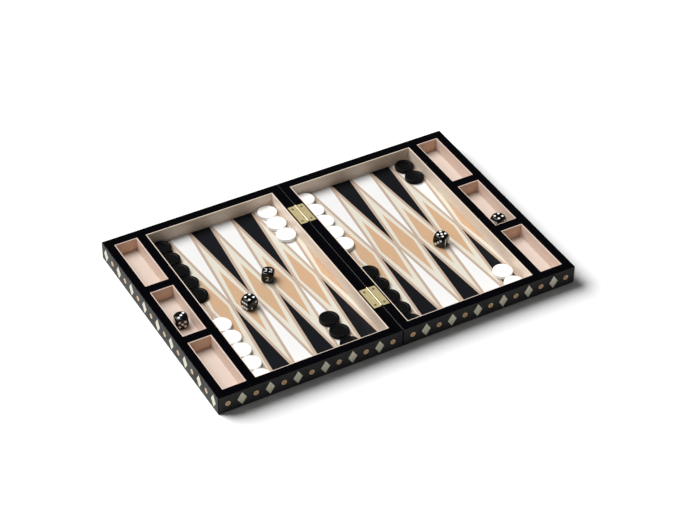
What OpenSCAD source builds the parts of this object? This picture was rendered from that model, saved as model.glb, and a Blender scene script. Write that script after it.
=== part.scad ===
// Folding backgammon set: two shallow lacquered halves joined by a pair of butt hinges,
// with inlaid playing boards, lined trays, checkers, dice and a doubling cube.
// The origin is under the middle of the open set, X runs along the front, Y goes back, Z is up.

/* [Case] */
// Width of the open set, both halves together
case_w = 480; // [470:1:500]
// Depth of the set, front to back
case_d = 313; // [310:1:330]
// Height of one half
case_h = 24.6; // [24.6:0.1:30]
// Width of the end rails and of the long dividers
end_rail_w = 11.3; // [10:0.1:13]
// Width of the front and back rails and of the cross dividers
side_rail_w = 11.6; // [10:0.1:13]
// Width of each rail along the hinge line
bar_rail_w = 12.4; // [12:0.1:14]
// Inside width of the column of trays
tray_w = 30.5; // [29:0.5:34]
// Thickness of the panel that closes the bottom
base_t = 3; // [2:0.1:3]
// Width of the rebate in the rails that takes the bottom panel
rebate_w = 5; // [3:0.5:8]
// Gap between the two bar rails when the set lies open
seam_gap = 0.3; // [0.2:0.1:0.6]

/* [Wells] */
// Thickness of the board under the playing surface, veneer included
board_t = 1.4; // [1.2:0.1:2]
// Thickness of the board under each tray
tray_board_t = 2.8; // [2:0.1:3.5]
// Thickness of the cloth on each tray's floor
tray_cloth_t = 0.6; // [0.4:0.1:1]
// Thickness of the strips that line the walls of every well
lining_t = 1.3; // [1:0.1:2]
// Distance from the rim down to the top edge of the lining
lining_drop = 0.8; // [0.1:0.1:1.5]

/* [Playing surface] */
// Thickness of the inlaid veneer
veneer_t = 0.6; // [0.4:0.1:1]
// Half the width of a point where it meets the rail
point_half_w = 12.9; // [11:0.1:13]
// Distance from the tip of a point to the middle line
point_tip_gap = 9; // [8:0.5:16]
// Half the width of a cream lozenge
lozenge_half_w = 12; // [9:0.1:12]
// Half the length of a cream lozenge
lozenge_half_l = 124; // [110:1:126]
// Half the width of the tan core of a lozenge
core_half_w = 8.9; // [6:0.1:9]
// Half the length of the tan core of a lozenge
core_half_l = 63; // [50:1:64]

/* [Edge inlays] */
// Width of a bone diamond
diamond_w = 12; // [8:0.5:14]
// Height of a bone diamond
diamond_h = 18.6; // [12:0.2:20]
// Diameter of the ring of a dot
dot_d = 6.9; // [5:0.1:9]
// Diameter of the centre of a dot
dot_core_d = 3.4; // [2:0.1:4]
// Depth of the inlays in the rails
inlay_t = 0.8; // [0.5:0.1:1.5]
// Distance from the outer corner to the first dot on a long side
outer_margin = 12.4; // [8:0.2:16]
// Distance from the seam to the last dot on a long side
seam_margin = 13.6; // [8:0.2:16]
// Distance from the corner to the first diamond on an end
end_margin = 12; // [8:0.2:16]

/* [Hinges] */
// Length of a hinge along the seam
leaf_l = 35.8; // [30:0.2:45]
// Reach of each leaf from the seam
leaf_w = 10.6; // [9:0.1:11]
// Thickness of a leaf
leaf_t = 1.1; // [0.9:0.1:1.4]
// Radius of the knuckles
barrel_r = 1.5; // [1.4:0.1:1.8]
// Radius of the hinge pin
pin_r = 0.8; // [0.7:0.05:0.9]
// Distance of each hinge from the middle of the seam
hinge_y = 89.3; // [70:0.1:100]
// Length of a hinge screw
screw_l = 7; // [5:0.5:9]
// Radius of a screw's head
screw_head_r = 1.7; // [1.4:0.1:2]
// Radius of a screw's shank
screw_r = 0.85; // [0.7:0.05:1]

/* [Checkers] */
// Diameter of a checker
checker_d = 24.6; // [22:0.1:24.8]
// Thickness of a checker
checker_t = 4.9; // [4:0.1:7]
// Distance between the centres of neighbouring checkers
checker_step = 25; // [24.9:0.1:25.2]
// Gap between the lining and the first checker of a row
checker_start = 0.6; // [0.4:0.1:3]
// Diameter of the shallow dish in both faces of a checker
dish_d = 19.2; // [14:0.2:20]
// Depth of the dish
dish_depth = 0.35; // [0.1:0.05:0.6]

/* [Dice] */
// Edge of a die
die_a = 16; // [12:0.5:18]
// Edge of the doubling cube
cube_a = 15; // [12:0.5:16]
// Radius of the ball that rounds a die, over half its edge
die_roundness = 1.335; // [1.3:0.005:1.45]
// Radius of the ball that rounds the doubling cube, over half its edge
cube_roundness = 1.4; // [1.3:0.005:1.5]
// Distance of an outer pip from the middle of its face
pip_step = 3.4; // [2.5:0.1:3.5]
// Radius of a pip
pip_r = 1.55; // [1:0.05:1.6]
// Depth of a pip
pip_depth = 0.35; // [0.2:0.05:0.6]

/* [Hidden] */
$fn = 72;
HALVES = ["left", "right"];
COLUMNS = 6;
TRAYS = 3;
KNUCKLES = 5;

// Glue line between neighbouring pieces of one group
glue_gap = 0.05;

// Levels
board_z = base_t + board_t;
tray_z = base_t + tray_board_t + tray_cloth_t;
lining_top = case_h - lining_drop;

// Plan of the left half: the right half is its mirror image
half_w = case_w / 2;
half_d = case_d / 2;
tray_x = -half_w + end_rail_w;
divider_x = tray_x + tray_w;
field_x = divider_x + end_rail_w;
field_w = -bar_rail_w - field_x;
well_y = half_d - side_rail_w;
tray_l = (2 * well_y - (TRAYS - 1) * side_rail_w) / TRAYS;
tray_step = tray_l + side_rail_w;
pitch = field_w / COLUMNS;
core_slope = core_half_l / core_half_w;

// Edge inlays
side_step = (half_w - outer_margin - seam_margin) / 12;
end_step = (case_d - 2 * end_margin) / 16;
pocket_z = case_h / 2;

// Hinges
closing_gap = 0.2;
axis_z = case_h + closing_gap / 2;
pin_clearance = 0.05;
barrel_clearance = 0.2;
knuckle_gap = 0.1;
knuckle_l = leaf_l / KNUCKLES;
screw_x = -(leaf_w + barrel_r + barrel_clearance) / 2;
screw_y = 0.36 * leaf_l;
screw_head_h = 0.9;
slot_w = 0.5;
slot_depth = 0.35;

// Checkers
checker_r = checker_d / 2;
edge_chamfer = 0.5;
dish_slope = 0.5;

// Rows of checkers: colour, half, column from the left of its half, end (1 back, -1 front),
// how many, and how far the row lies off its column
ROWS = [
    ["black", "left", 1, 1, 5, 0],
    ["white", "left", 6, 1, 3, 0],
    ["white", "left", 1, -1, 5, 0],
    ["black", "left", 5, -1, 3, 0],
    ["white", "right", 1, 1, 5, 0],
    ["black", "right", 6, 1, 2, 0],
    ["black", "right", 1, -1, 5, 0],
    ["white", "right", 6, -1, 2, -2]
];

// Dice: X, Y, turn, floor level, the numbers on the top, front and left faces, and
// whether the six or the diagonal on each of those faces is turned by a quarter
DICE = [
    [-127.3, -14.8, 16.4, board_z, [4, 2, 6], [0, 0, 1]],
    [-213.3, -7.5, -12.2, tray_z, [3, 5, 6], [0, 0, 1]],
    [133.8, -22.6, 29.7, board_z, [5, 6, 3], [0, 0, 0]],
    [213.1, -28.2, 15.7, tray_z, [4, 2, 6], [0, 0, 1]]
];
CUBE = [-84.5, 18.9, -36];

function numbered(name, count) =
    [for (i = [1:count]) str(name, i < 10 ? "0" : "", i)];
function both(name) = [for (half = HALVES) str(name, "_", half)];
CASE_NODES = [
    for (name = ["base_panel", "front_rail", "back_rail", "end_rail", "bar_rail", "dividers",
                 "floor_boards", "marquetry", "linings", "edge_inlays", "hinge_leaves",
                 "hinge_screws"])
        each both(name)
];

// ---- places

function column_x(half, column) =
    (half == "left" ? field_x : bar_rail_w) + (column - 0.5) * pitch;
function row_place(row, k) = [
    column_x(row[1], row[2]) + row[5],
    row[3] * (well_y - lining_t - checker_start - checker_r - k * checker_step)
];
// The places of every checker of one colour, row by row
function places(colour) =
    [for (row = ROWS) if (row[0] == colour) for (k = [0:row[4] - 1]) row_place(row, k)];

// Children are drawn for the left half, and mirrored for the right half
module on_half(half) {
    if (half == "left") children();
    else mirror([1, 0, 0]) children();
}

// A box between two corners
module box(low, high) {
    translate(low) cube(high - low);
}

// ---- rails

// Inner outline of the case's rails, as the space of the bottom panel in its rebate
module base_space() {
    box([tray_x - rebate_w, -well_y - rebate_w, 0],
        [-bar_rail_w + rebate_w, well_y + rebate_w, base_t]);
}

// A rail from its mitred outline in plan, rebated for the bottom panel
module rail(outline) {
    difference() {
        linear_extrude(case_h) polygon(outline);
        base_space();
    }
}

// A bone diamond standing in a wall that faces -Y
module diamond_shape() {
    rotate([90, 0, 0])
        linear_extrude(inlay_t)
            polygon([[-diamond_w / 2, 0], [0, -diamond_h / 2],
                     [diamond_w / 2, 0], [0, diamond_h / 2]]);
}

// A disc standing in a wall that faces -Y
module disc_shape(d) {
    rotate([90, 0, 0]) cylinder(h = inlay_t, d = d);
}

// Puts child 0 at every diamond and child 1 at every dot along the front of the left half
module along_front() {
    for (i = [0:12])
        translate([-half_w + outer_margin + i * side_step, -half_d + inlay_t, pocket_z])
            if (i % 2 == 1) children(0);
            else children(1);
}

// The same along the end of the left half, where diamonds come first and last
module along_end() {
    for (i = [0:16])
        translate([-half_w + inlay_t, -half_d + end_margin + i * end_step, pocket_z])
            rotate([0, 0, -90])
                if (i % 2 == 0) children(0);
                else children(1);
}

module front_rail() {
    color("black")
        difference() {
            rail([[-half_w, -half_d], [-seam_gap / 2, -half_d],
                  [-bar_rail_w, -well_y], [tray_x, -well_y]]);
            along_front() {
                diamond_shape();
                disc_shape(dot_d);
            }
        }
}

module back_rail() {
    mirror([0, 1, 0]) front_rail();
}

module end_rail() {
    color("black")
        difference() {
            rail([[-half_w, -half_d], [tray_x, -well_y],
                  [tray_x, well_y], [-half_w, half_d]]);
            along_end() {
                diamond_shape();
                disc_shape(dot_d);
            }
        }
}

// Space that one leaf, its barrel and its screws take out of a bar rail
module leaf_space() {
    box([-leaf_w, -leaf_l / 2, case_h - leaf_t], [0, leaf_l / 2, case_h + 1]);
    translate([0, -leaf_l / 2 - barrel_clearance, axis_z])
        rotate([-90, 0, 0])
            cylinder(h = leaf_l + 2 * barrel_clearance, r = barrel_r + barrel_clearance);
    for (s = [-1, 1])
        translate([screw_x, s * screw_y, case_h - screw_l])
            cylinder(h = screw_l, r = screw_r);
}

module bar_rail() {
    color("black")
        difference() {
            rail([[-seam_gap / 2, -half_d], [-seam_gap / 2, half_d],
                  [-bar_rail_w, well_y], [-bar_rail_w, -well_y]]);
            for (s = [-1, 1]) translate([0, s * hinge_y, 0]) leaf_space();
        }
}

// The long divider beside the trays and the two cross dividers between them
module dividers() {
    color("black") {
        box([divider_x, -well_y, base_t], [field_x, well_y, case_h]);
        for (i = [1:TRAYS - 1])
            translate([0, -well_y + i * tray_step, 0])
                box([tray_x, -side_rail_w, base_t], [divider_x - glue_gap, 0, case_h]);
    }
}

module base_panel() {
    color("black") base_space();
}

// ---- floors

// Puts its children at the front end of every tray
module at_trays() {
    for (i = [0:TRAYS - 1]) translate([tray_x, -well_y + i * tray_step, 0]) children();
}

// A triangle that stands on the back rail and points to the front
module point_outline() {
    polygon([[-point_half_w, well_y], [0, point_tip_gap], [point_half_w, well_y]]);
}

module lozenge_outline(half_w, half_l) {
    polygon([[-half_w, 0], [0, -half_l], [half_w, 0], [0, half_l]]);
}

// Outline of every point whose column and end have the given sum, odd or even
module points_outline(parity) {
    for (column = [0:COLUMNS - 1], end = [0, 1])
        if ((column + end) % 2 == parity)
            translate([field_x + (column + 0.5) * pitch, 0])
                mirror([0, end, 0]) point_outline();
}

// Lozenges centred on the lines between columns, cut off at the sides of the board
module lozenges_outline(half_w, half_l) {
    intersection() {
        translate([field_x, -well_y]) square([field_w, 2 * well_y]);
        for (i = [0:COLUMNS])
            translate([field_x + i * pitch, 0]) lozenge_outline(half_w, half_l);
    }
}

// A layer of veneer let into the top of the playing board
module veneer() {
    translate([0, 0, board_z - veneer_t]) linear_extrude(veneer_t) children();
}

// The playing board with pockets for its marquetry, and the board under each tray
module floor_boards() {
    color("rosybrown") {
        difference() {
            box([field_x, -well_y, base_t], [-bar_rail_w, well_y, board_z]);
            veneer() {
                points_outline(0);
                points_outline(1);
                lozenges_outline(lozenge_half_w, lozenge_half_l);
            }
        }
        at_trays() box([0, 0, base_t], [tray_w, tray_l, base_t + tray_board_t]);
    }
}

// Dark and pale points, and cream lozenges with tan cores. The mirrored half starts with the
// other colour, so that the whole board alternates from left to right.
module marquetry(half) {
    dark = half == "left" ? 0 : 1;
    color("midnightblue") veneer() points_outline(dark);
    color("white") veneer() points_outline(1 - dark);
    color("cornsilk")
        veneer()
            difference() {
                lozenges_outline(lozenge_half_w, lozenge_half_l);
                lozenges_outline(core_half_w, core_half_l);
            }
    color("burlywood")
        veneer() lozenges_outline(core_half_w - glue_gap, core_half_l - glue_gap * core_slope);
}

// Four strips around the inside of a well of the given size, standing on its board
module well_lining(w, l, floor_z) {
    inset = lining_t + glue_gap;
    for (x = [0, w - lining_t]) box([x, 0, floor_z], [x + lining_t, l, lining_top]);
    for (y = [0, l - lining_t]) box([inset, y, floor_z], [w - inset, y + lining_t, lining_top]);
}

module linings() {
    color("mistyrose") {
        translate([field_x, -well_y, 0]) well_lining(field_w, 2 * well_y, board_z);
        at_trays() {
            inset = lining_t + glue_gap;
            box([inset, inset, base_t + tray_board_t], [tray_w - inset, tray_l - inset, tray_z]);
            well_lining(tray_w, tray_l, base_t + tray_board_t);
        }
    }
}

// Bone diamonds, and dots made of a ring around a darker centre
module edge_inlays() {
    module dot() {
        color("tan")
            difference() {
                disc_shape(dot_d);
                disc_shape(dot_core_d + 2 * glue_gap);
            }
        color("sienna") disc_shape(dot_core_d);
    }
    module diamond() {
        color("beige") diamond_shape();
    }
    for (flip = [0, 1])
        mirror([0, flip, 0])
            along_front() {
                diamond();
                dot();
            }
    along_end() {
        diamond();
        dot();
    }
}

// ---- hinges

// The stretch of the barrel that knuckle i takes, as a cylinder of radius r
module knuckle(i, r) {
    translate([0, -leaf_l / 2 + i * knuckle_l + knuckle_gap / 2, axis_z])
        rotate([-90, 0, 0]) cylinder(h = knuckle_l - knuckle_gap, r = r);
}

// One leaf of the left half: first is 0 or 1, the first knuckle that belongs to it
module hinge_leaf(first) {
    difference() {
        union() {
            box([-leaf_w, -leaf_l / 2, case_h - leaf_t],
                [-barrel_r - barrel_clearance, leaf_l / 2, case_h]);
            for (i = [first:2:KNUCKLES - 1]) {
                knuckle(i, barrel_r);
                translate([0, -leaf_l / 2 + i * knuckle_l, 0])
                    box([-leaf_w, knuckle_gap / 2, case_h - leaf_t],
                        [0, knuckle_l - knuckle_gap / 2, case_h]);
            }
        }
        translate([0, -leaf_l / 2 - 1, axis_z])
            rotate([-90, 0, 0]) cylinder(h = leaf_l + 2, r = pin_r + pin_clearance);
        for (s = [-1, 1]) translate([screw_x, s * screw_y, case_h]) screw_body();
    }
}

module hinge_leaves(half) {
    color("gold")
        for (s = [-1, 1])
            translate([0, s * hinge_y, 0]) hinge_leaf(half == "left" ? 0 : 1);
}

module hinge_pins() {
    color("goldenrod")
        for (s = [-1, 1])
            translate([0, s * hinge_y - leaf_l / 2, axis_z])
                rotate([-90, 0, 0]) cylinder(h = leaf_l, r = pin_r);
}

// A countersunk screw with the top of its head at the origin
module screw_body() {
    translate([0, 0, -screw_head_h])
        cylinder(h = screw_head_h, r1 = screw_r, r2 = screw_head_r);
    translate([0, 0, -screw_l]) cylinder(h = screw_l, r = screw_r);
}

module hinge_screws() {
    color("darkgoldenrod")
        for (s = [-1, 1], e = [-1, 1])
            translate([screw_x, s * hinge_y + e * screw_y, case_h])
                difference() {
                    screw_body();
                    box([-screw_head_r, -slot_w / 2, -slot_depth],
                        [screw_head_r, slot_w / 2, 1]);
                }
}

// ---- playing pieces

module checker(colour, place) {
    low = dish_depth;
    high = checker_t - dish_depth;
    rim = dish_d / 2;
    color(colour)
        translate([place.x, place.y, board_z])
            rotate_extrude()
                polygon([[0, low], [rim - dish_slope, low], [rim, 0],
                         [checker_r - edge_chamfer, 0], [checker_r, edge_chamfer],
                         [checker_r, checker_t - edge_chamfer],
                         [checker_r - edge_chamfer, checker_t],
                         [rim, checker_t], [rim - dish_slope, high], [0, high]]);
}

// A cube rounded by a ball, centred on the origin
module rounded_cube(a, roundness) {
    intersection() {
        cube(a, center = true);
        sphere(r = a / 2 * roundness);
    }
}

// Places of the pips of number n, in steps from the middle of the face
function pips(n) = concat(
    n % 2 == 1 ? [[0, 0]] : [],
    n > 1 ? [[1, 1], [-1, -1]] : [],
    n > 3 ? [[1, -1], [-1, 1]] : [],
    n > 5 ? [[-1, 0], [1, 0]] : []
);

// Drilled pips of number n in the face that looks along +Z, turned by quarters
module pip_holes(n, turned) {
    rotate([0, 0, 90 * turned])
        for (p = pips(n))
            translate([p.x * pip_step, p.y * pip_step, die_a / 2 - pip_depth])
                cylinder(h = 1, r = pip_r);
}

// A die as an entry of DICE describes it: opposite faces add up to seven
module die(d) {
    top = d[4][0];
    front = d[4][1];
    left = d[4][2];
    turn = d[5];
    color("black")
        translate([d[0], d[1], d[3] + die_a / 2])
            rotate([0, 0, d[2]])
                difference() {
                    rounded_cube(die_a, die_roundness);
                    pip_holes(top, turn[0]);
                    rotate([180, 0, 0]) pip_holes(7 - top, 0);
                    rotate([90, 0, 0]) pip_holes(front, turn[1]);
                    rotate([-90, 0, 0]) pip_holes(7 - front, 0);
                    rotate([90, 0, -90]) pip_holes(left, turn[2]);
                    rotate([90, 0, 90]) pip_holes(7 - left, 0);
                }
}

module doubling_cube() {
    color("black")
        translate([CUBE[0], CUBE[1], board_z + cube_a / 2])
            rotate([0, 0, CUBE[2]]) rounded_cube(cube_a, cube_roundness);
}

// ---- nodes

for (half = HALVES) {
    on_half(half) base_panel();
    on_half(half) front_rail();
    on_half(half) back_rail();
    on_half(half) end_rail();
    on_half(half) bar_rail();
    on_half(half) dividers();
    on_half(half) floor_boards();
    on_half(half) marquetry(half);
    on_half(half) linings();
    on_half(half) edge_inlays();
    on_half(half) hinge_leaves(half);
    on_half(half) hinge_screws();
}
hinge_pins();
for (colour = ["white", "black"])
    for (i = [0:14]) {
        name = numbered(str(colour, "_checker_"), 15)[i];
        checker(colour, places(colour)[i]);
    }
for (i = [0:len(DICE) - 1])
    die(DICE[i]);
doubling_cube();
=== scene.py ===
"""Looks of a folding backgammon set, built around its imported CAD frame.

The case's rails are cut from one lacquered slab per half, so that no seam shows between them.
Veneers, linings and inlays are made from the solids of the CAD nodes, and checkers and dice
are turned and rounded at the places of theirs. Lengths are in metres, and small ones are
written as numbers * MM.
"""
import math

import bmesh
import bpy
from mathutils import Matrix, Vector
from mathutils.geometry import delaunay_2d_cdt


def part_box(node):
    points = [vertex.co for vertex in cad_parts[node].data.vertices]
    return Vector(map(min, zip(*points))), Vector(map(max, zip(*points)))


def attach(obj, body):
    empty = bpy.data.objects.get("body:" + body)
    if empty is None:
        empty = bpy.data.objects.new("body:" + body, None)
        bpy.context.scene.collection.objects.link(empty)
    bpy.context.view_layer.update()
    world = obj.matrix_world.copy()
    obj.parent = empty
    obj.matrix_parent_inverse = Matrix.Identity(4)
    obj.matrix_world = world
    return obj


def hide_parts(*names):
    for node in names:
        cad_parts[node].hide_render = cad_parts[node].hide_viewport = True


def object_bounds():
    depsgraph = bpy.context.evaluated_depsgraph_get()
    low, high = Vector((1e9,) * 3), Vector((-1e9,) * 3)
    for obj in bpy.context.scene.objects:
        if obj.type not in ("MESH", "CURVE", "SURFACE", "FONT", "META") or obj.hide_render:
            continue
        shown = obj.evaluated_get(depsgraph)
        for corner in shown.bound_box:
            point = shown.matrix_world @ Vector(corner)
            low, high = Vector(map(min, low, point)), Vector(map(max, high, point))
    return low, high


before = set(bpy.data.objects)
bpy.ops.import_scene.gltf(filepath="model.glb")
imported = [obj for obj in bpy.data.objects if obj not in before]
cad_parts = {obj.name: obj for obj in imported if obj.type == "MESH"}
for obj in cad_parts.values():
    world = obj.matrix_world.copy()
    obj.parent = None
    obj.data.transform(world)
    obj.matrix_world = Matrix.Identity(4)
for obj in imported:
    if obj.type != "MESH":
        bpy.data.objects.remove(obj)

MM = 0.001
CAD_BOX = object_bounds()
HALVES = ("left", "right")
UP = Vector((0, 0, 1))
SPARE = 1 * MM               # how far a cutter reaches past what it cuts
WELD_GAP = 0.002 * MM        # corners of a CAD mesh that are this close are one corner
NEAR = 0.1 * MM              # places that are this close are meant to be the same
PARALLEL = 0.001             # the most that two unit vectors differ if they point the same way
FLAT = math.radians(0.5)     # faces of the CAD that turn by less than this are one face
SHARP = math.radians(40)     # edges that turn by more than this are eased


# ---- materials

class Shader:
    """A material with a Principled shader, and short ways to add nodes to it."""

    def __init__(self, name, **settings):
        self.material = bpy.data.materials.new(name)
        self.material.use_nodes = True
        self.tree = self.material.node_tree
        self.principled = self.tree.nodes["Principled BSDF"]
        for socket, value in settings.items():
            self.principled.inputs[socket.replace("_", " ")].default_value = value

    def node(self, kind, **inputs):
        """A new node with its inputs linked or set, where _ in a name stands for a space."""
        made = self.tree.nodes.new(kind)
        for socket, value in inputs.items():
            self.feed(made.inputs[socket.replace("_", " ")], value)
        return made

    def feed(self, socket, value):
        """Links another node's output to a socket, or sets the socket to a plain value."""
        if isinstance(value, bpy.types.NodeSocket):
            self.tree.links.new(value, socket)
        else:
            socket.default_value = value

    def noise(self, scale, detail=3.0, roughness=0.55):
        """Noise with scale (x, y, z) cells to a metre."""
        place = self.tree.nodes.new("ShaderNodeTexCoord").outputs["Object"]
        mapping = self.node("ShaderNodeMapping", Vector=place, Scale=scale)
        texture = self.node("ShaderNodeTexNoise", Vector=mapping.outputs["Vector"], Scale=1.0,
                            Detail=detail, Roughness=roughness)
        return texture.outputs["Fac"]

    def ramp(self, factor, low, high, start=0.35, end=0.65):
        """A blend from low to high as the factor goes from start to end."""
        made = self.tree.nodes.new("ShaderNodeMapRange")
        made.clamp = True
        self.feed(made.inputs["Value"], factor)
        made.inputs["From Min"].default_value = start
        made.inputs["From Max"].default_value = end
        made.inputs["To Min"].default_value = low
        made.inputs["To Max"].default_value = high
        return made.outputs["Result"]

    def mix(self, factor, first, second):
        """A blend of two colours, the first at factor 0 and the second at factor 1."""
        made = self.tree.nodes.new("ShaderNodeMix")
        made.data_type = "RGBA"
        self.feed(made.inputs[0], factor)
        self.feed(made.inputs[6], first)
        self.feed(made.inputs[7], second)
        return made.outputs[2]

    def bump(self, height, depth):
        """Relief as deep as depth, in metres, where height goes from 0 to 1."""
        made = self.node("ShaderNodeBump", Height=height, Distance=depth, Strength=1.0)
        self.tree.links.new(made.outputs["Normal"], self.principled.inputs["Normal"])

    def colour(self, socket):
        """Drives the base colour."""
        self.feed(self.principled.inputs["Base Color"], socket)

    def roughness(self, socket):
        """Drives the roughness."""
        self.feed(self.principled.inputs["Roughness"], socket)


def rgb(red, green, blue):
    """A linear colour from 0 to 255 display values."""
    def linear(value):
        value /= 255
        return value / 12.92 if value <= 0.04045 else ((value + 0.055) / 1.055) ** 2.4
    return (linear(red), linear(green), linear(blue), 1.0)


def shaded(colour, factor):
    """The colour made darker or lighter by a factor."""
    return (*(part * factor for part in colour[:3]), 1.0)


def lacquer(name, colour, specular, gloss):
    """Lacquer with a faint ripple and some duller patches from handling."""
    look = Shader(name, Specular_IOR_Level=specular)
    look.colour(look.mix(look.noise((40, 40, 40)), shaded(colour, 0.7), shaded(colour, 1.3)))
    look.roughness(look.ramp(look.noise((25, 25, 25), detail=5), gloss, 2 * gloss))
    look.bump(look.noise((300, 300, 300), detail=1), 0.01 * MM)
    return look.material


def veneer(name, colour, contrast, roughness, specular=0.3, along_y=True):
    """Sliced wood under a satin finish, with its grain along Y or X."""
    look = Shader(name, Specular_IOR_Level=specular)
    fine = (2600, 90, 2600) if along_y else (90, 2600, 2600)
    broad = (320, 12, 320) if along_y else (12, 320, 320)
    grain = look.noise(fine, detail=4, roughness=0.65)
    figure = look.noise(broad, detail=3)
    lines = look.mix(look.ramp(grain, 0, 1), shaded(colour, 1 - contrast), shaded(colour, 1.0))
    look.colour(look.mix(look.ramp(figure, 0, 0.5), lines, shaded(colour, 1 - 0.6 * contrast)))
    look.roughness(look.ramp(grain, roughness + 0.08, roughness - 0.05))
    look.bump(grain, 0.02 * MM)
    return look.material


def cloth(name, colour):
    """Short-napped cloth: a fine felted bump, a soft sheen and slow changes of tone."""
    look = Shader(name, Sheen_Weight=0.25, Sheen_Roughness=0.45, Specular_IOR_Level=0.2)
    nap = look.noise((2200, 2200, 2200), detail=3, roughness=0.7)
    tone = look.noise((60, 60, 60), detail=2)
    fibres = look.mix(look.ramp(nap, 0, 1), shaded(colour, 0.90), shaded(colour, 1.04))
    look.colour(look.mix(look.ramp(tone, 0, 0.35), fibres, shaded(colour, 0.93)))
    look.roughness(look.ramp(nap, 0.95, 0.82))
    look.bump(nap, 0.06 * MM)
    return look.material


def bone(name, colour, contrast):
    """Polished bone: pale streaks along the piece and small darker pores."""
    look = Shader(name, Specular_IOR_Level=0.45, Coat_Weight=0.15, Coat_Roughness=0.15)
    streaks = look.noise((700, 700, 160), detail=4, roughness=0.6)
    pores = look.noise((3200, 3200, 900), detail=2)
    body = look.mix(look.ramp(streaks, 0, 1), shaded(colour, 1 - contrast),
                    shaded(colour, 1 + 0.4 * contrast))
    look.colour(look.mix(look.ramp(pores, 0.5, 0, 0.30, 0.42), body, shaded(colour, 0.55)))
    look.roughness(look.ramp(streaks, 0.40, 0.26))
    look.bump(streaks, 0.02 * MM)
    return look.material


def brass(name, colour, roughness):
    """Brass with brushed lines and a little brown tarnish."""
    look = Shader(name, Metallic=1.0)
    brushed = look.noise((180, 5200, 180), detail=2)
    tarnish = look.noise((420, 420, 420), detail=5, roughness=0.7)
    metal = look.mix(look.ramp(brushed, 0, 1), shaded(colour, 0.82), colour)
    look.colour(look.mix(look.ramp(tarnish, 0, 0.5, 0.50, 0.72), metal, shaded(colour, 0.45)))
    look.roughness(look.ramp(tarnish, roughness, roughness + 0.15))
    look.bump(brushed, 0.004 * MM)
    return look.material


def resin(name, colour, roughness, specular, cloud):
    """Cast resin with a slightly clouded body and fine rubbing marks."""
    look = Shader(name, Specular_IOR_Level=specular)
    clouds = look.noise((130, 130, 130), detail=3)
    rubbed = look.noise((1500, 1500, 1500), detail=4, roughness=0.7)
    look.colour(look.mix(look.ramp(clouds, 0, 1), shaded(colour, 1 - cloud), colour))
    look.roughness(look.ramp(rubbed, roughness + 0.07, roughness - 0.04))
    look.bump(rubbed, 0.006 * MM)
    return look.material


def paint():
    """White filling paint, a little uneven where it was wiped off."""
    look = Shader("white_paint", Specular_IOR_Level=0.4)
    wiped = look.noise((1400, 1400, 1400), detail=3)
    look.colour(look.mix(look.ramp(wiped, 0, 1), rgb(226, 226, 222), rgb(252, 252, 250)))
    look.roughness(look.ramp(wiped, 0.5, 0.35))
    look.bump(wiped, 0.02 * MM)
    return look.material


def floor_paper():
    """White paper with barely visible tooth."""
    look = Shader("white_paper", Specular_IOR_Level=0.1)
    tooth = look.noise((300, 300, 300), detail=2)
    look.colour(look.mix(look.ramp(tooth, 0, 1), (0.95, 0.95, 0.95, 1), (0.96, 0.96, 0.96, 1)))
    look.roughness(look.ramp(tooth, 0.95, 0.9))
    return look.material


LACQUER = lacquer("black_lacquer", (0.0008, 0.0008, 0.0016), 0.09, 0.03)
# The outer sides take a lighter grey than the black top: painted reflection of the bright floor. Their
# satin gloss is real.
SIDE_LACQUER_PAINTED_REFLECTION = lacquer("satin_lacquer", (0.032, 0.032, 0.032), 0.03, 0.22)
# The eased edges are glossier, so they catch the lamps. Their colour is a touch lighter than the top's,
# a faint painted highlight.
EDGE_LACQUER = lacquer("rubbed_lacquer", (0.0020, 0.0020, 0.0024), 0.26, 0.06)
CORNER_LACQUER = lacquer("dull_lacquer", (0.0008, 0.0008, 0.0016), 0.0, 0.30)
GROUND = veneer("ground_veneer", rgb(178, 157, 139), 0.10, 0.42)
DARK = veneer("dyed_dark_veneer", rgb(17, 19, 24), 0.35, 0.36, specular=0.08)
PALE = veneer("dyed_white_veneer", rgb(219, 219, 218), 0.035, 0.38)
CREAM = veneer("cream_veneer", rgb(206, 201, 187), 0.05, 0.40)
TAN = veneer("tan_veneer", rgb(193, 158, 124), 0.09, 0.40)
CLOTH = cloth("nude_cloth", rgb(201, 185, 173))
WALL_LOOK = (rgb(244, 225, 206), 0.26, 0.32, 0.55)
WALLS = [veneer("wall_veneer", *WALL_LOOK), veneer("wall_veneer_across", *WALL_LOOK, along_y=False)]
TRAY_FINISH = (0.24, 0.30, 0.6)
# The tray walls facing ±Y take a warmer, more orange tone than those facing ±X: painted bounce light
# from the pink cloth and walls. The grain running across them is real.
TRAY_WALLS = [veneer("tray_veneer", rgb(234, 209, 194), *TRAY_FINISH),
              veneer("tray_veneer_across", rgb(240, 201, 173), *TRAY_FINISH, along_y=False)]
BONE = bone("polished_bone", rgb(216, 211, 186), 0.16)
TAN_BONE = bone("tan_inlay", rgb(210, 176, 130), 0.14)
BROWN_BONE = bone("brown_inlay", rgb(186, 142, 98), 0.18)
BRASS = brass("brass", rgb(206, 191, 146), 0.40)
# Paler, less yellow brass for the knuckles: painted highlight, so that the barrel's line of light shows
# whitish. Its lower roughness is real polish.
POLISHED_BRASS_PAINTED_HIGHLIGHT = brass("polished_brass", rgb(204, 194, 166), 0.28)
AGED_BRASS = brass("aged_brass", rgb(128, 118, 88), 0.40)
WHITE_RESIN = resin("white_resin", rgb(250, 250, 248), 0.28, 0.4, 0.03)
BLACK_RESIN = resin("black_resin", rgb(10, 10, 11), 0.30, 0.07, 0.3)
DICE_RESIN = resin("dice_resin", rgb(5, 5, 6), 0.12, 0.30, 0.3)
PAINT = paint()


# ---- meshes

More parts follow.
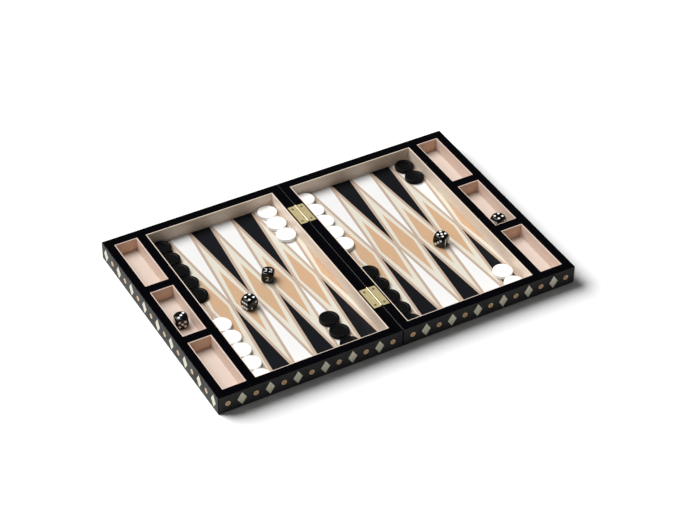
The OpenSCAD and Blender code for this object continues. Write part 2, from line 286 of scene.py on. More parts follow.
def bmesh_box(bm, low, high):
    """Adds a box between two corners."""
    corners = [bm.verts.new((x, y, z)) for x in (low[0], high[0])
               for y in (low[1], high[1]) for z in (low[2], high[2])]
    for face in ((0, 1, 3, 2), (4, 6, 7, 5), (0, 4, 5, 1), (2, 3, 7, 6), (0, 2, 6, 4), (1, 5, 7, 3)):
        bm.faces.new([corners[i] for i in face])


def bmesh_prism(bm, outline, depth):
    """Adds a prism from an outline of points to the same outline moved by the vector depth."""
    first = [bm.verts.new(point) for point in outline]
    second = [bm.verts.new(point + depth) for point in outline]
    bm.faces.new(first)
    bm.faces.new(reversed(second))
    for i, vert in enumerate(first):
        j = (i + 1) % len(first)
        bm.faces.new((first[j], vert, second[i], second[j]))


def to_mesh(bm, name):
    """Turns a bmesh into a mesh with its faces outwards, and frees it."""
    bmesh.ops.recalc_face_normals(bm, faces=bm.faces)
    mesh = bpy.data.meshes.new(name)
    bm.to_mesh(mesh)
    bm.free()
    return mesh


def boolean(mesh, cutter, operation):
    """The mesh cut by, or kept inside, another mesh."""
    body = bpy.data.objects.new("body", mesh)
    tool = bpy.data.objects.new("tool", cutter)
    for obj in (body, tool):
        bpy.context.scene.collection.objects.link(obj)
    cut = body.modifiers.new("cut", "BOOLEAN")
    cut.object = tool
    cut.operation = operation
    cut.solver = "EXACT"
    made = bpy.data.meshes.new_from_object(body.evaluated_get(bpy.context.evaluated_depsgraph_get()))
    for obj in (body, tool):
        bpy.data.objects.remove(obj)
    return made


def turns(steps):
    """Angles that divide a full turn into equal steps."""
    return [2 * math.pi * i / steps for i in range(steps)]


def smooth_with_creases(mesh, angle=32):
    """Smooth shading that breaks at edges sharper than the angle in degrees."""
    bm = bmesh.new()
    bm.from_mesh(mesh)
    for face in bm.faces:
        face.smooth = True
    for edge in bm.edges:
        edge.smooth = len(edge.link_faces) == 2 and edge.calc_face_angle(0) < math.radians(angle)
    bm.to_mesh(mesh)
    bm.free()


def piece(name, mesh, materials, body, nodes=()):
    """Puts a finished mesh into the scene as a named piece that rides on a body."""
    mesh.name = name
    for material in materials:
        mesh.materials.append(material)
    obj = bpy.data.objects.new(name, mesh)
    bpy.context.scene.collection.objects.link(obj)
    weighted = obj.modifiers.new("flat faces", "WEIGHTED_NORMAL")
    weighted.keep_sharp = True
    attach(obj, body)
    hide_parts(*nodes)


def solids(node):
    """The separate solids of a CAD node, each a bmesh with its flat faces whole."""
    whole = bmesh.new()
    whole.from_mesh(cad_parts[node].data)
    bmesh.ops.remove_doubles(whole, verts=whole.verts, dist=WELD_GAP)
    left = set(whole.verts)
    found = []
    while left:
        island, front = set(), [left.pop()]
        while front:
            vert = front.pop()
            island.add(vert)
            for edge in vert.link_edges:
                other = edge.other_vert(vert)
                if other in left:
                    left.remove(other)
                    front.append(other)
        solid = bmesh.new()
        copies = {vert: solid.verts.new(vert.co) for vert in sorted(island, key=lambda v: v.index)}
        for face in sorted({f for v in island for f in v.link_faces}, key=lambda f: f.index):
            solid.faces.new([copies[vert] for vert in face.verts])
        bmesh.ops.recalc_face_normals(solid, faces=solid.faces)
        bmesh.ops.dissolve_limit(solid, angle_limit=FLAT, verts=solid.verts, edges=solid.edges)
        solid.normal_update()
        found.append(solid)
    whole.free()
    return sorted(found, key=lambda solid: tuple(round(c, 5) for c in middle(solid)))


def extent(bm):
    """(lowest corner, highest corner) of a bmesh."""
    low = Vector([min(vert.co[axis] for vert in bm.verts) for axis in range(3)])
    high = Vector([max(vert.co[axis] for vert in bm.verts) for axis in range(3)])
    return low, high


def middle(bm):
    """Centre of a bmesh's box."""
    low, high = extent(bm)
    return (low + high) / 2


def size(bm):
    """Lengths of the sides of a bmesh's box."""
    low, high = extent(bm)
    return high - low


def joined(name, parts, bevel=0.0, segments=2):
    """One mesh of several solids, with their sharp edges eased by the width bevel."""
    whole = bmesh.new()
    for part in parts:
        copies = {vert: whole.verts.new(vert.co) for vert in part.verts}
        for face in part.faces:
            whole.faces.new([copies[vert] for vert in face.verts])
    if bevel:
        sharp = [edge for edge in whole.edges if edge.calc_face_angle(0) > SHARP]
        bmesh.ops.bevel(whole, geom=sharp, offset=bevel, segments=segments, profile=0.5,
                        affect="EDGES", clamp_overlap=True)
    mesh = to_mesh(whole, name)
    smooth_with_creases(mesh)
    return mesh


# ---- plan of a half, from the CAD nodes

class Half:
    """Lines of one half of the case, which lies along sign * X from the fold line.

    The distances from the fold line are, from the inside out, seam, bar, field, divider, tray and
    outer. Between them lie the bar rail, the playing well, the long divider, the trays and the
    end rail. The distances from the middle line to the wells' ends and the case's are well and
    depth, and crosses are the pairs of Y between which the cross dividers lie.
    """

    def __init__(self, name):
        self.name = name
        self.body = f"{name}_case"
        self.sign = -1 if name == "left" else 1
        end_low, end_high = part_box(f"end_rail_{name}")
        bar_low, bar_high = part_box(f"bar_rail_{name}")
        dividers = solids(f"dividers_{name}")
        long_divider = max(dividers, key=lambda solid: size(solid).y)
        crosses = [solid for solid in dividers if solid is not long_divider]
        self.height = end_high.z
        self.depth = end_high.y
        self.well = -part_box(f"front_rail_{name}")[1].y
        self.tray, self.outer = sorted(abs(x) for x in (end_low.x, end_high.x))
        self.seam, self.bar = sorted(abs(x) for x in (bar_low.x, bar_high.x))
        self.field, self.divider = sorted(abs(corner.x) for corner in extent(long_divider))
        self.crosses = sorted(tuple(corner.y for corner in extent(solid)) for solid in crosses)

    def x(self, distance):
        """The X at a distance from the fold line."""
        return self.sign * distance


PLANS = [Half(name) for name in HALVES]


# ---- the lacquered case

RIM_EASE = 0.15 * MM             # around the wells
OUTER_EASE = 0.60 * MM           # around the outside of a half
TOUCHING = 0.0001 * MM           # a corner that is this close to a plane lies in it
CONVEX = math.radians(60)        # the slab's outward edges turn by more than this
REBATE_DEPTH = 5 * MM            # how far down the rebate's cutter goes from the panel
AXIAL = 0.985                    # a flat face's normal has a part at least this large
LEVEL = 0.1                      # a sloping edge's normal rises or falls by more than this
INSIDE, SIDE, EDGE, CORNER = range(4)
CASE_LACQUERS = [LACQUER, SIDE_LACQUER_PAINTED_REFLECTION, EDGE_LACQUER, CORNER_LACQUER]


def lacquered_slab(half):
    """One half of the case as a single plate, open right through at the playing well and trays."""
    distances = (half.outer, half.tray, half.divider, half.field, half.bar, half.seam)
    xs = sorted(half.x(distance) for distance in distances)
    rows = [-half.depth, -half.well, *(y for cross in half.crosses for y in cross), half.well,
            half.depth]

    def is_open(x, y):
        if abs(y) > half.well:
            return False
        if half.bar < abs(x) < half.field:
            return True
        crossed = any(low < y < high for low, high in half.crosses)
        return half.divider < abs(x) < half.tray and not crossed

    bm = bmesh.new()
    verts = {}

    def vert(i, j, k):
        if (i, j, k) not in verts:
            verts[i, j, k] = bm.verts.new((xs[i], rows[j], k * half.height))
        return verts[i, j, k]

    def solid(i, j):
        inside = 0 <= i < len(xs) - 1 and 0 <= j < len(rows) - 1
        return inside and not is_open((xs[i] + xs[i + 1]) / 2, (rows[j] + rows[j + 1]) / 2)

    for i in range(len(xs) - 1):
        for j in range(len(rows) - 1):
            if not solid(i, j):
                continue
            for k in (0, 1):
                bm.faces.new((vert(i, j, k), vert(i + 1, j, k), vert(i + 1, j + 1, k),
                              vert(i, j + 1, k)))
            sides = {(-1, 0): ((i, j), (i, j + 1)), (1, 0): ((i + 1, j), (i + 1, j + 1)),
                     (0, -1): ((i, j), (i + 1, j)), (0, 1): ((i, j + 1), (i + 1, j + 1))}
            for (di, dj), (a, b) in sides.items():
                if not solid(i + di, j + dj):
                    bm.faces.new((vert(*a, 0), vert(*b, 0), vert(*b, 1), vert(*a, 1)))
    bmesh.ops.recalc_face_normals(bm, faces=bm.faces)

    def is_outside(point):
        sides = (abs(point.x) - half.outer, abs(point.x) - half.seam, abs(point.y) - half.depth)
        return any(abs(distance) < TOUCHING for distance in sides)

    def outer(edge):
        return all(is_outside(end.co) for end in edge.verts)

    convex = [edge for edge in bm.edges if edge.is_convex and edge.calc_face_angle(0) > CONVEX]
    outside = [edge for edge in convex if outer(edge)]
    rims = [edge for edge in convex if not outer(edge)]
    for edges, ease in ((outside, OUTER_EASE), (rims, RIM_EASE)):
        alive = [edge for edge in edges if edge.is_valid]
        bmesh.ops.bevel(bm, geom=alive, offset=ease, segments=3, profile=0.5, affect="EDGES",
                        clamp_overlap=True)
    return to_mesh(bm, "slab")


def rail_domains(half):
    """The plan outline in which each rail lies, mitred at the corners of the case."""
    reach = 2.0

    def corner(near, far, side):
        """A mitre line from the well's corner out past the case's corner."""
        inner = Vector((half.x(near), side * half.well, 0))
        outer = Vector((half.x(far), side * half.depth, 0))
        return inner, inner + (outer - inner) * reach

    def quad(first, second):
        return [first[0], first[1], second[1], second[0]]

    ends = {side: corner(half.tray, half.outer, side) for side in (-1, 1)}
    bars = {side: corner(half.bar, half.seam, side) for side in (-1, 1)}
    return {
        "front_rail": quad(ends[-1], bars[-1]),
        "back_rail": quad(ends[1], bars[1]),
        "end_rail": quad(ends[-1], ends[1]),
        "bar_rail": quad(bars[-1], bars[1]),
        "dividers": [ends[-1][0], bars[-1][0], bars[1][0], ends[1][0]],
    }


def domain_mesh(outline, height):
    """A block over a plan outline, a little taller than the case at both ends."""
    bm = bmesh.new()
    bmesh_prism(bm, [point - UP * SPARE for point in outline], UP * (height + 2 * SPARE))
    return to_mesh(bm, "domain")


# ---- inlays in the outer faces

INLAY_EASE = 0.08 * MM


class Inlay:
    """Place of one inlay in an outer face: its middle on the face, the way out and its size."""

    def __init__(self, solid):
        low, high = extent(solid)
        span = high - low
        self.centre = (low + high) / 2
        self.height = span.z
        if span.x < span.y:
            self.out = Vector((math.copysign(1, self.centre.x), 0, 0))
            self.width, self.depth = span.y, span.x
        else:
            self.out = Vector((0, math.copysign(1, self.centre.y), 0))
            self.width, self.depth = span.x, span.y
        self.along = UP.cross(self.out)
        self.centre += self.out * self.depth / 2

    def diamond(self):
        """Its outline as a diamond."""
        aside, above = self.along * self.width / 2, UP * self.height / 2
        return [self.centre + step for step in (aside, above, -aside, -above)]

    def disc(self, steps=40):
        """Its outline as a disc."""
        return [self.centre + (self.along * math.cos(turn) + UP * math.sin(turn)) * self.width / 2
                for turn in turns(steps)]


def inlay_kinds(half):
    """Diamonds, rings and cores, told apart by their heights."""
    inlays = [Inlay(solid) for solid in solids(f"edge_inlays_{half.name}")]

    def tenths(inlay):
        """Height in millimetres, to a tenth."""
        return round(inlay.height / MM, 1)

    heights = sorted({tenths(inlay) for inlay in inlays}, reverse=True)
    return [[inlay for inlay in inlays if tenths(inlay) == height] for height in heights]


def outlined(inlays, is_diamond=False):
    """Pairs of each inlay with its outline."""
    return [(inlay, inlay.diamond() if is_diamond else inlay.disc()) for inlay in inlays]


def pockets(half, face):
    """Cutters for the inlays of one outer face."""
    diamonds, rings, _ = inlay_kinds(half)
    bm = bmesh.new()
    for inlay, outline in outlined(diamonds, is_diamond=True) + outlined(rings):
        if inlay.out.dot(face) > 0.5:
            bmesh_prism(bm, [point + inlay.out * SPARE for point in outline],
                        -inlay.out * (inlay.depth + SPARE))
    return to_mesh(bm, "pockets")


def eased_prisms(name, outlines):
    """Prisms whose front edges are eased, from (inlay, outline) pairs."""
    whole = bmesh.new()
    for inlay, outline in outlines:
        bmesh_prism(whole, outline, -inlay.out * inlay.depth)
    bmesh.ops.recalc_face_normals(whole, faces=whole.faces)

    def is_front(face):
        return any((face.normal - inlay.out).length < PARALLEL
                   and (face.calc_center_median() - inlay.centre).length < NEAR
                   for inlay, _ in outlines)

    edges = {edge for face in whole.faces if is_front(face) for edge in face.edges}
    bmesh.ops.bevel(whole, geom=list(edges), offset=INLAY_EASE, segments=2, profile=0.5,
                    affect="EDGES", clamp_overlap=True)
    mesh = to_mesh(whole, name)
    smooth_with_creases(mesh)
    return mesh


def make_inlays(half):
    """Bone diamonds, tan rings with a hole and the brown dots in them."""
    diamonds, rings, cores = inlay_kinds(half)
    node = f"edge_inlays_{half.name}"
    mesh = eased_prisms("diamonds", outlined(diamonds, is_diamond=True))
    piece(f"bone_diamonds_{half.name}", mesh, [BONE], half.body, [node])
    mesh = eased_prisms("rings", outlined(rings))
    holes = bmesh.new()
    for core, outline in outlined(cores):
        bmesh_prism(holes, [point + core.out * SPARE for point in outline],
                    -core.out * (core.depth + 2 * SPARE))
    mesh = boolean(mesh, to_mesh(holes, "holes"), "DIFFERENCE")
    smooth_with_creases(mesh)
    piece(f"tan_rings_{half.name}", mesh, [TAN_BONE], half.body, [node])
    mesh = eased_prisms("cores", outlined(cores))
    piece(f"brown_dots_{half.name}", mesh, [BROWN_BONE], half.body, [node])


# ---- hinges

GROOVE_RADIUS = 1.7 * MM
GROOVE_SPARE = 0.2 * MM          # how far a groove runs past each end of its barrel
GROOVE_STEPS = 40
LEAF_EASE = 0.12 * MM
BARREL_SHARE = 1.05              # of the barrel's radius, within which a leaf takes the paler brass of the painted highlight


def barrel_radius(leaf):
    """The barrel reaches across the fold line by its radius."""
    low, high = extent(leaf)
    return min(abs(low.x), abs(high.x))


def leaf_reach(leaf):
    """How far a leaf reaches from the fold line."""
    low, high = extent(leaf)
    return max(abs(low.x), abs(high.x))


def low_of_leaf(leaf):
    """Underside of the flat part of a leaf: its lowest corner at the outer end."""
    reach = leaf_reach(leaf)
    return min(vert.co.z for vert in leaf.verts if abs(abs(vert.co.x) - reach) < NEAR)


def hinge_space(half):
    """Recesses in a bar rail for the leaves, and round grooves for the barrels."""
    leaves = solids(f"hinge_leaves_{half.name}")
    recesses = bmesh.new()
    for leaf in leaves:
        low, high = extent(leaf)
        reach = leaf_reach(leaf)
        bmesh_box(recesses, (-reach, low.y, low_of_leaf(leaf)),
                  (reach, high.y, half.height + 2 * SPARE))
    grooves = bmesh.new()
    for leaf in leaves:
        low, high = extent(leaf)
        axis = Vector((0, low.y - GROOVE_SPARE, high.z - barrel_radius(leaf)))
        ring = [axis + Vector((math.cos(turn), 0, math.sin(turn))) * GROOVE_RADIUS
                for turn in turns(GROOVE_STEPS)]
        bmesh_prism(grooves, ring, Vector((0, high.y - low.y + 2 * GROOVE_SPARE, 0)))
    return to_mesh(recesses, "recesses"), to_mesh(grooves, "grooves")


def make_hinge_leaves(half):
    """Both leaves of a half, whose knuckles take a paler, smoother brass than their flat parts: the
    lower roughness is polish, the paler colour a painted whitish highlight along the barrel.
    """
    node = f"hinge_leaves_{half.name}"
    leaves = solids(node)
    highlight_reach = BARREL_SHARE * barrel_radius(leaves[0])
    mesh = joined("leaves", leaves, LEAF_EASE)
    for face in mesh.polygons:
        face.material_index = 1 if abs(face.center.x) < highlight_reach else 0
    piece(f"brass_leaves_{half.name}", mesh, [BRASS, POLISHED_BRASS_PAINTED_HIGHLIGHT], half.body, [node])


def case_lacquer(normal, out):
    """Which of CASE_LACQUERS a face has, where out is the way out of an outer rail or None."""
    if max(abs(part) for part in normal) < AXIAL:
        return EDGE if abs(normal.z) > LEVEL else CORNER
    return SIDE if out and normal.dot(out) > 0.5 else INSIDE


def make_case(half):
    """Rails and dividers, cut from one slab, with room for the panel, inlays and hinges."""
    slab = lacquered_slab(half)
    panel_low, panel_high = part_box(f"base_panel_{half.name}")
    bm = bmesh.new()
    bmesh_box(bm, panel_low - UP * REBATE_DEPTH, panel_high)
    slab = boolean(slab, to_mesh(bm, "rebate"), "DIFFERENCE")
    ways_out = {"front_rail": Vector((0, -1, 0)), "back_rail": Vector((0, 1, 0)),
                "end_rail": Vector((half.sign, 0, 0))}
    for name, outline in rail_domains(half).items():
        mesh = boolean(slab.copy(), domain_mesh(outline, half.height), "INTERSECT")
        out = ways_out.get(name)
        if out:
            mesh = boolean(mesh, pockets(half, out), "DIFFERENCE")
        if name == "bar_rail":
            for cutter in hinge_space(half):
                mesh = boolean(mesh, cutter, "DIFFERENCE")
        smooth_with_creases(mesh)
        for face in mesh.polygons:
            face.material_index = case_lacquer(face.normal, out)
        piece(f"lacquered_{name}_{half.name}", mesh, CASE_LACQUERS, half.body,
              [f"{name}_{half.name}"])


# ---- boards and linings

POINTS_ON_A_SIDE = 6             # at the front or back of a half
FRAME_SHARE = 0.8                # of the tallest inlay, which a lozenge frame exceeds
STRIP_WIDTH = 5 * MM             # a lining is a strip if it is narrower than this
STRIP_EASE = 0.35 * MM
CLOTH_EASE = 0.2 * MM


def make_marquetry(half):
    """Dark and pale points, cream lozenge frames and tan cores, from the CAD node's solids."""
    kinds = {"dark_points": [], "pale_points": [], "lozenge_frames": [], "lozenge_cores": []}
    parts = solids(f"marquetry_{half.name}")
    tallest = max(size(part).y for part in parts)
    pitch = (half.field - half.bar) / POINTS_ON_A_SIDE
    left_end = -half.field if half.name == "left" else half.bar
    for part in parts:
        centre = middle(part)
        if abs(centre.y) > pitch:
            column = int((centre.x - left_end) / pitch)
            far = 1 if centre.y > 0 else 0
            kinds["dark_points" if (column + far) % 2 else "pale_points"].append(part)
        else:
            is_frame = size(part).y > FRAME_SHARE * tallest
            kinds["lozenge_frames" if is_frame else "lozenge_cores"].append(part)
    looks = {"dark_points": DARK, "pale_points": PALE, "lozenge_frames": CREAM, "lozenge_cores": TAN}
    for kind, members in kinds.items():
        piece(f"{kind}_{half.name}", joined(kind, members), [looks[kind]], half.body,
              [f"marquetry_{half.name}"])


def make_linings(half):
    """Strips around the wells, with rounded edges, and the cloths on the trays' floors."""
    parts = solids(f"linings_{half.name}")
    cloths = [part for part in parts if min(size(part).x, size(part).y) > STRIP_WIDTH]
    strips = [part for part in parts if part not in cloths]
    playing = [strip for strip in strips if abs(middle(strip).x) < half.field]
    trays = [strip for strip in strips if strip not in playing]
    node = f"linings_{half.name}"
    for name, members, looks in (("well_linings", playing, WALLS), ("tray_linings", trays, TRAY_WALLS)):
        mesh = joined(name, members, STRIP_EASE, segments=3)
        for face in mesh.polygons:
            # walls facing ±Y take the second look: grain across, and in the trays also a warmer painted
            # bounce tint
            face.material_index = 1 if abs(face.normal.y) > 0.5 else 0
        piece(f"{name}_{half.name}", mesh, looks, half.body, [node])
    mesh = joined("cloths", cloths, CLOTH_EASE)
    piece(f"tray_cloths_{half.name}", mesh, [CLOTH], half.body, [node])


def finish_cad_node(node, material, ease=0.0):
    """A CAD node that stays: its shape is right and only takes a finish and eased edges."""
    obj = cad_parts[node]
    obj.data.materials.clear()
    obj.data.materials.append(material)
    if ease:
        weld = obj.modifiers.new("weld", "WELD")
        weld.merge_threshold = WELD_GAP
        bevel = obj.modifiers.new("eased edges", "BEVEL")
        bevel.width = ease
        bevel.segments = 2
        bevel.limit_method = "ANGLE"
        bevel.angle_limit = SHARP
        bevel.harden_normals = True


# ---- checkers

def lathe(name, profile, centre, steps=96):
    """A solid of revolution about a vertical axis: profile is (radius, height) from axis to axis."""
    bm = bmesh.new()
    rings = []
    for radius, height in profile:
        if radius == 0:
            rings.append([bm.verts.new(centre + UP * height)])
            continue
        places = [Vector((radius * math.cos(turn), radius * math.sin(turn), height))
                  for turn in turns(steps)]
        rings.append([bm.verts.new(centre + place) for place in places])
    for lower, upper in zip(rings, rings[1:]):
        for i in range(steps):
            j = (i + 1) % steps
            corners = [lower[i % len(lower)], lower[j % len(lower)],
                       upper[j % len(upper)], upper[i % len(upper)]]
            bm.faces.new(list(dict.fromkeys(corners)))
    return to_mesh(bm, name)


def arc(centre, radius, start, end, steps):
    """Points of an arc in (radius, height), angles in degrees."""
    angles = (math.radians(start + (end - start) * i / steps) for i in range(steps + 1))
    return [(centre[0] + radius * math.cos(angle), centre[1] + radius * math.sin(angle))
            for angle in angles]


DISH_SHARE = 0.78                # of a checker's radius, at the edge of its dish
DISH_DEPTH = 0.35 * MM
DISH_FLAT = 4                    # where the dish's flat floor ends, in lips from its edge
LIP = 0.35 * MM                  # unit of width of the slope between dish and rim
LIP_RISES = (0.08, 0.35, 0.72, 0.94)   # of the dish's depth, at even steps up the slope
LIP_START = 2.2                  # where the first rise lies, in lips from the dish's edge
LIP_STEP = 0.55                  # from one rise to the next, in lips
CHECKER_EDGE = 0.95 * MM


def checker_profile(radius, thickness):
    """Half outline of a checker with a shallow dish in both faces and a rounded edge."""
    rim = radius * DISH_SHARE
    edge = CHECKER_EDGE
    upper = [(0, thickness - DISH_DEPTH), (rim - DISH_FLAT * LIP, thickness - DISH_DEPTH)]
    upper += [(rim - LIP * (LIP_START - LIP_STEP * i), thickness - DISH_DEPTH * (1 - rise))
              for i, rise in enumerate(LIP_RISES)]
    upper += [(rim + LIP, thickness)]
    upper += arc((radius - edge, thickness - edge), edge, 90, 0, 6)
    lower = [(away, thickness - height) for away, height in reversed(upper)]
    return upper + lower


def make_checker(node, material):
    """A checker turned to the size of its CAD node."""
    low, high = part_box(node)
    radius = (high.x - low.x) / 2
    base = Vector(((low.x + high.x) / 2, (low.y + high.y) / 2, low.z))
    mesh = lathe(node, checker_profile(radius, high.z - low.z), base)
    smooth_with_creases(mesh, angle=50)
    piece(f"turned_{node}", mesh, [material], node, [node])


# ---- dice

BALL_BLEND = 26.0                # higher is a crisper line between flats and ball
GRID = 22                        # cells along a face
PIP_STEPS = 28                   # points around a pip
PIP_CLEARANCE = 1.18             # the grid has no points this near to a pip, in pip radii
PIP_RINGS = (1.06, 1.0, 0.88, 0.66, 0.36)   # rings of points, in pip radii
PAINTED = 1.001                  # where the paint ends, in pip radii
DIMPLE = 0.42 * MM               # depth of a pip
PIP_CORNERS = 8                  # a pip's floor in the CAD has more corners than this
PIP_AREAS = (2, 20)              # and an area between these, in square millimetres
TURNED = 0.99999                 # normals whose dot product is larger belong to one side


def rounded(point, ball):
    """A point of a cube's surface drawn in to a ball of this radius where it lies outside it."""
    out = point.length / ball
    return point / (1 + out ** BALL_BLEND) ** (1 / BALL_BLEND)


def die_faces(node):
    """The cube's middle, half edge, radius of its rounding ball, faces and radius of a pip.

    A face is (normal, right, up, places of pips), and they come as top, bottom, front, back and
    the other two. A cube without pips has a pip radius of 0.
    """
    bm = solids(node)[0]
    low, high = extent(bm)
    centre = (low + high) / 2
    half_edge = (high.z - low.z) / 2
    ball = max((vert.co - centre).length for vert in bm.verts)
    upright = [face for face in bm.faces if abs(face.normal.z) < PARALLEL]

    def area_facing(normal):
        return sum(face.calc_area() for face in upright if face.normal.dot(normal) > TURNED)

    def is_pip(face):
        smallest, largest = PIP_AREAS
        sunk = (face.calc_center_median() - centre).dot(face.normal) < half_edge - NEAR
        return (len(face.verts) > PIP_CORNERS and smallest < face.calc_area() / MM ** 2 < largest
                and sunk)

    side = max((face.normal for face in upright), key=area_facing)
    turned = (side, -side, side.cross(UP), UP.cross(side))
    front = min(turned, key=lambda normal: normal.y).normalized()
    across = front.cross(UP)
    floors = [face for face in bm.faces if is_pip(face)]
    made = []
    for normal in (UP, -UP, front, -front, across, -across):
        other = across if abs(normal.dot(across)) < 0.5 else UP
        right = normal.cross(other).normalized()
        up = normal.cross(right)
        steps = [face.calc_center_median() - centre for face in floors if face.normal.dot(normal) > 0.9]
        made.append((normal, right, up, [(step.dot(right), step.dot(up)) for step in steps]))
    pip_radius = max((face.calc_perimeter() / (2 * math.pi) for face in floors), default=0)
    bm.free()
    return centre, half_edge, ball, made, pip_radius


def die_face_mesh(bm, centre, half_edge, ball, face, pip_radius):
    """One face: a net of triangles with rings of points at every pip, dimpled inside it."""
    normal, right, up, places = face
    pips = [Vector(place) for place in places]
    points, edges = [], []
    for i in range(GRID + 1):
        for j in range(GRID + 1):
            point = Vector(((2 * i / GRID - 1) * half_edge, (2 * j / GRID - 1) * half_edge))
            inside = 0 < i < GRID and 0 < j < GRID
            clear = all((point - pip).length > PIP_CLEARANCE * pip_radius for pip in pips)
            if clear or not inside:
                points.append(point)
    for pip in pips:
        for share in PIP_RINGS:
            start = len(points)
            for turn in turns(PIP_STEPS):
                points.append(pip + Vector((math.cos(turn), math.sin(turn))) * pip_radius * share)
            edges += [(start + k, start + (k + 1) % PIP_STEPS) for k in range(PIP_STEPS)]
    flat, _, triangles, *_ = delaunay_2d_cdt(points, edges, [], 0, 1e-9)
    verts = []
    for point in flat:
        off = min(((point - pip).length / pip_radius for pip in pips), default=2)
        spot = rounded(normal * half_edge + right * point.x + up * point.y, ball)
        if off < 1:
            spot -= normal * DIMPLE * (1 - off ** 2)
        verts.append((bm.verts.new(centre + spot), off))
    for triangle in triangles:
        made = bm.faces.new([verts[i][0] for i in triangle])
        made.material_index = 1 if all(verts[i][1] < PAINTED for i in triangle) else 0
        if made.normal.dot(normal) < 0:
            made.normal_flip()


def make_die(node, materials):
    """A rounded cube, with its pips if it has any. Returns its middle, half edge and faces."""
    centre, half_edge, ball, faces, pip_radius = die_faces(node)
    bm = bmesh.new()
    for face in faces:
        die_face_mesh(bm, centre, half_edge, ball, face, pip_radius)
    bmesh.ops.remove_doubles(bm, verts=bm.verts, dist=0.001 * MM)
    bmesh.ops.recalc_face_normals(bm, faces=bm.faces)
    for face in bm.faces:
        face.smooth = True
    for edge in bm.edges:
        edge.smooth = len({face.material_index for face in edge.link_faces}) == 1
    mesh = bpy.data.meshes.new(node)
    bm.to_mesh(mesh)
    bm.free()
    piece(f"rounded_{node}", mesh, materials, node, [node])
    return centre, half_edge, faces


NUMBERS = {"top": "32", "front": "2", "left": "16", "back": "64", "right": "4", "bottom": "8"}
NUMBER_SIZE = 0.60               # size of the type, as a share of the cube's edge
NUMBER_STRETCH = 1.25            # digits are wider than the font's by this
NUMBER_SPACING = 1.1
NUMBER_THINNING = 0.13 * MM      # taken off each side of a stroke
PAINT_DEPTH = 0.05 * MM


def number_mesh(bm, text, place, height):
    """Adds digits of paint with their middle at the matrix place."""
    curve = bpy.data.curves.new("digits", "FONT")
    curve.body = text
    curve.size = height
    curve.align_x = "CENTER"
    curve.extrude = PAINT_DEPTH / 2
    curve.offset = -NUMBER_THINNING
    curve.space_character = NUMBER_SPACING
    obj = bpy.data.objects.new("digits", curve)
    bpy.context.scene.collection.objects.link(obj)
    mesh = bpy.data.meshes.new_from_object(obj.evaluated_get(bpy.context.evaluated_depsgraph_get()))
    ys = [vert.co.y for vert in mesh.vertices]
    wider = Matrix.Diagonal((NUMBER_STRETCH, 1, 1, 1))
    mesh.transform(place @ wider @ Matrix.Translation((0, -(min(ys) + max(ys)) / 2, 0)))
    bm.from_mesh(mesh)
    bpy.data.objects.remove(obj)


def make_doubling_cube(node):
    """A cube with rounded corners and a number on each face."""
    centre, half_edge, faces = make_die(node, [DICE_RESIN])
    top, bottom, front, back, *_ = (normal for normal, *_ in faces)
    right = UP.cross(front)
    places = {"top": (top, -front), "front": (front, UP), "back": (back, UP),
              "left": (-right, UP), "right": (right, UP), "bottom": (bottom, front)}
    bm = bmesh.new()
    for name, (normal, up) in places.items():
        turn = Matrix((up.cross(normal), up, normal)).transposed().to_4x4()
        place = Matrix.Translation(centre + normal * half_edge) @ turn
        number_mesh(bm, NUMBERS[name], place, 2 * half_edge * NUMBER_SIZE)
    mesh = to_mesh(bm, "numbers")
    piece("doubling_cube_numbers", mesh, [PAINT], node, [node])


# ---- building everything

PANEL_EASE = 0.3 * MM
SCREW_EASE = 0.06 * MM
PIN_EASE = 0.1 * MM

for plan in PLANS:
    make_case(plan)
    make_inlays(plan)
    make_marquetry(plan)
    make_linings(plan)
    finish_cad_node(f"base_panel_{plan.name}", LACQUER, PANEL_EASE)
    finish_cad_node(f"floor_boards_{plan.name}", GROUND)
    make_hinge_leaves(plan)
    finish_cad_node(f"hinge_screws_{plan.name}", AGED_BRASS, SCREW_EASE)
finish_cad_node("hinge_pins", BRASS, PIN_EASE)
for number in range(1, 16):
    make_checker(f"white_checker_{number:02d}", WHITE_RESIN)
    make_checker(f"black_checker_{number:02d}", BLACK_RESIN)
for number in range(1, 5):
    make_die(f"die_{number:02d}", [DICE_RESIN, PAINT])
make_doubling_cube("doubling_cube")


# ---- floor, light and camera

FLOOR_REACH = 12.0
FLOOR_GAP = 0.05 * MM


def make_floor():
    """A wide sheet of white paper just under the set."""
    bm = bmesh.new()
    height = CAD_BOX[0].z - FLOOR_GAP
    corners = ((-1, -1), (1, -1), (1, 1), (-1, 1))
    bm.faces.new([bm.verts.new((x * FLOOR_REACH, y * FLOOR_REACH, height)) for x, y in corners])
    mesh = to_mesh(bm, "floor")
    mesh.materials.append(floor_paper())
    floor = bpy.data.objects.new("floor", mesh)
    bpy.context.scene.collection.objects.link(floor)
    return floor


def direction(azimuth, elevation):
    """Unit vector at two angles in degrees: azimuth from -Y towards +X, elevation upwards."""
    turn, rise = math.radians(azimuth), math.radians(elevation)
    return Vector((math.sin(turn) * math.cos(rise), -math.cos(turn) * math.cos(rise),
                   math.sin(rise)))


def light_group(name, floor, state):
    """Receivers of a light: the floor alone with INCLUDE, or all but the floor with EXCLUDE."""
    group = bpy.data.collections.new(name)
    group.objects.link(floor)
    group.collection_objects[0].light_linking.link_state = state
    return group


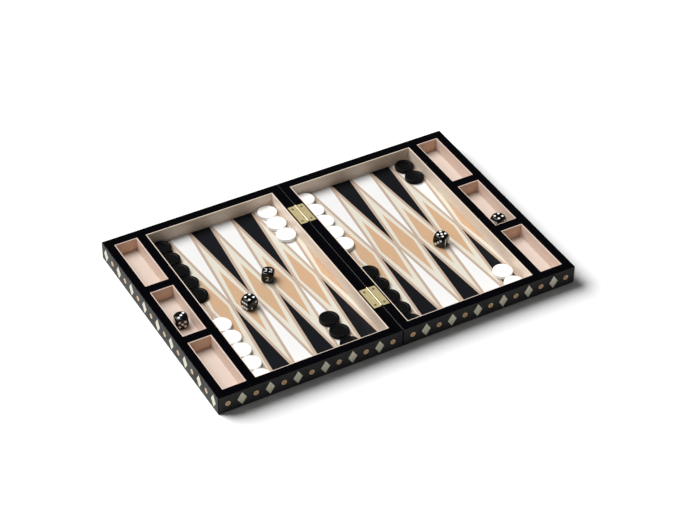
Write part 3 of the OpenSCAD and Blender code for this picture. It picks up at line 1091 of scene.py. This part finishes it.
def sun(name, azimuth, elevation, softness, strength, receivers):
    """A distant lamp that lights its receivers alone. Its softness is its width in degrees."""
    light = bpy.data.lights.new(name, "SUN")
    light.angle = math.radians(softness)
    light.energy = strength
    obj = bpy.data.objects.new(name, light)
    obj.rotation_mode = "QUATERNION"
    obj.rotation_quaternion = direction(azimuth, elevation).to_track_quat("Z", "Y")
    obj.light_linking.receiver_collection = receivers
    bpy.context.scene.collection.objects.link(obj)


def make_world(strength):
    """Even white light from all around."""
    world = bpy.data.worlds.new("studio")
    world.use_nodes = True
    background = world.node_tree.nodes["Background"]
    background.inputs["Color"].default_value = (1, 1, 1, 1)
    background.inputs["Strength"].default_value = strength
    bpy.context.scene.world = world


CAMERA_PLACE = Vector((-0.9544, -1.6671, 1.6220))
CAMERA_AZIMUTH = -30.243         # degrees, as are the next two
CAMERA_ELEVATION = 39.972
CAMERA_ROLL = 1.105
CAMERA_LENS = 106.457            # millimetres, as is the width of the sensor
SENSOR_WIDTH = 36.0
CAMERA_SHIFT = (0.00045, 0.00020)


def make_camera():
    """A long lens at the front left, high above the set."""
    data = bpy.data.cameras.new("camera")
    data.lens = CAMERA_LENS
    data.sensor_width = SENSOR_WIDTH
    data.sensor_fit = "HORIZONTAL"
    data.clip_end = 50
    data.shift_x, data.shift_y = CAMERA_SHIFT
    obj = bpy.data.objects.new("camera", data)
    obj.location = CAMERA_PLACE
    obj.rotation_mode = "QUATERNION"
    back = direction(CAMERA_AZIMUTH, CAMERA_ELEVATION)
    turn = Matrix.Rotation(math.radians(CAMERA_ROLL), 4, "Z").to_quaternion()
    obj.rotation_quaternion = back.to_track_quat("Z", "Y") @ turn
    bpy.context.scene.collection.objects.link(obj)
    bpy.context.scene.camera = obj


# The floor has a lower key than the set, so that the shadow on it is longer than in the wells
studio_floor = make_floor()
on_floor = light_group("floor_only", studio_floor, "INCLUDE")
on_set = light_group("all_but_floor", studio_floor, "EXCLUDE")
sun("floor_key", azimuth=218, elevation=36, softness=50, strength=6.3, receivers=on_floor)
sun("set_key", azimuth=210, elevation=62, softness=46, strength=4.2, receivers=on_set)
sun("left_fill", azimuth=275, elevation=30, softness=40, strength=0.5, receivers=on_set)
make_world(strength=0.10)
make_camera()
bpy.context.scene.view_settings.view_transform = "Standard"
